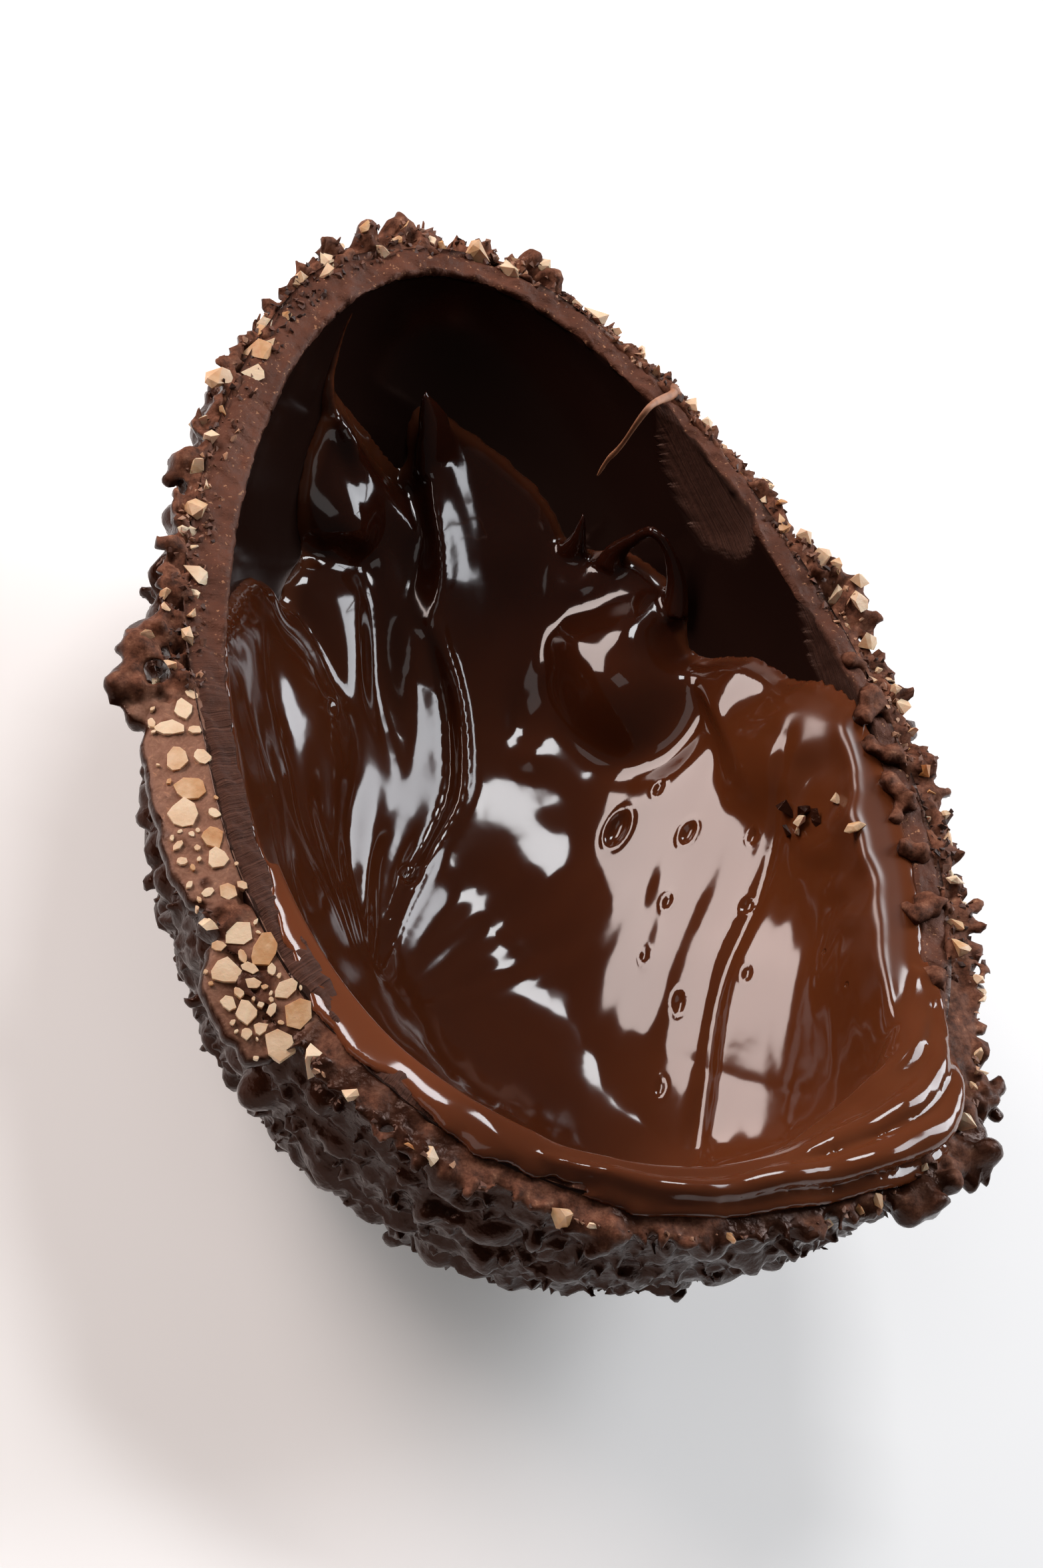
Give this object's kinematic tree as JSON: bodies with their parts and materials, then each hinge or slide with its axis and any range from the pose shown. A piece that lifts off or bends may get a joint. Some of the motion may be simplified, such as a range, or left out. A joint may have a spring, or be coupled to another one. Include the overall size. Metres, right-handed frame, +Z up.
{
  "type": "half of a filled chocolate egg",
  "caption": "Half of a cracked chocolate egg lying on its back: a rough chocolate and hazelnut coat round a smooth dark shell, with glossy hazelnut cream spread inside.",
  "frame": {"origin": "centre of the small flat spot that the half egg rests on", "axes": "+Z up out of the open face, +Y along the egg towards its narrow end, +X to the right seen from above"},
  "size_m": [0.1405, 0.1957, 0.0663],
  "materials": {
    "nut_coat": "dark chocolate with chopped hazelnuts, rough and half glossy",
    "shell": "tempered dark chocolate, smooth inside, matte where broken",
    "cream": "wet, glossy chocolate hazelnut cream"
  },
  "bodies": {
    "root": {"nut_coat": "nut_coat", "shell": "shell", "cream": "cream"}
  },
  "joints": []
}
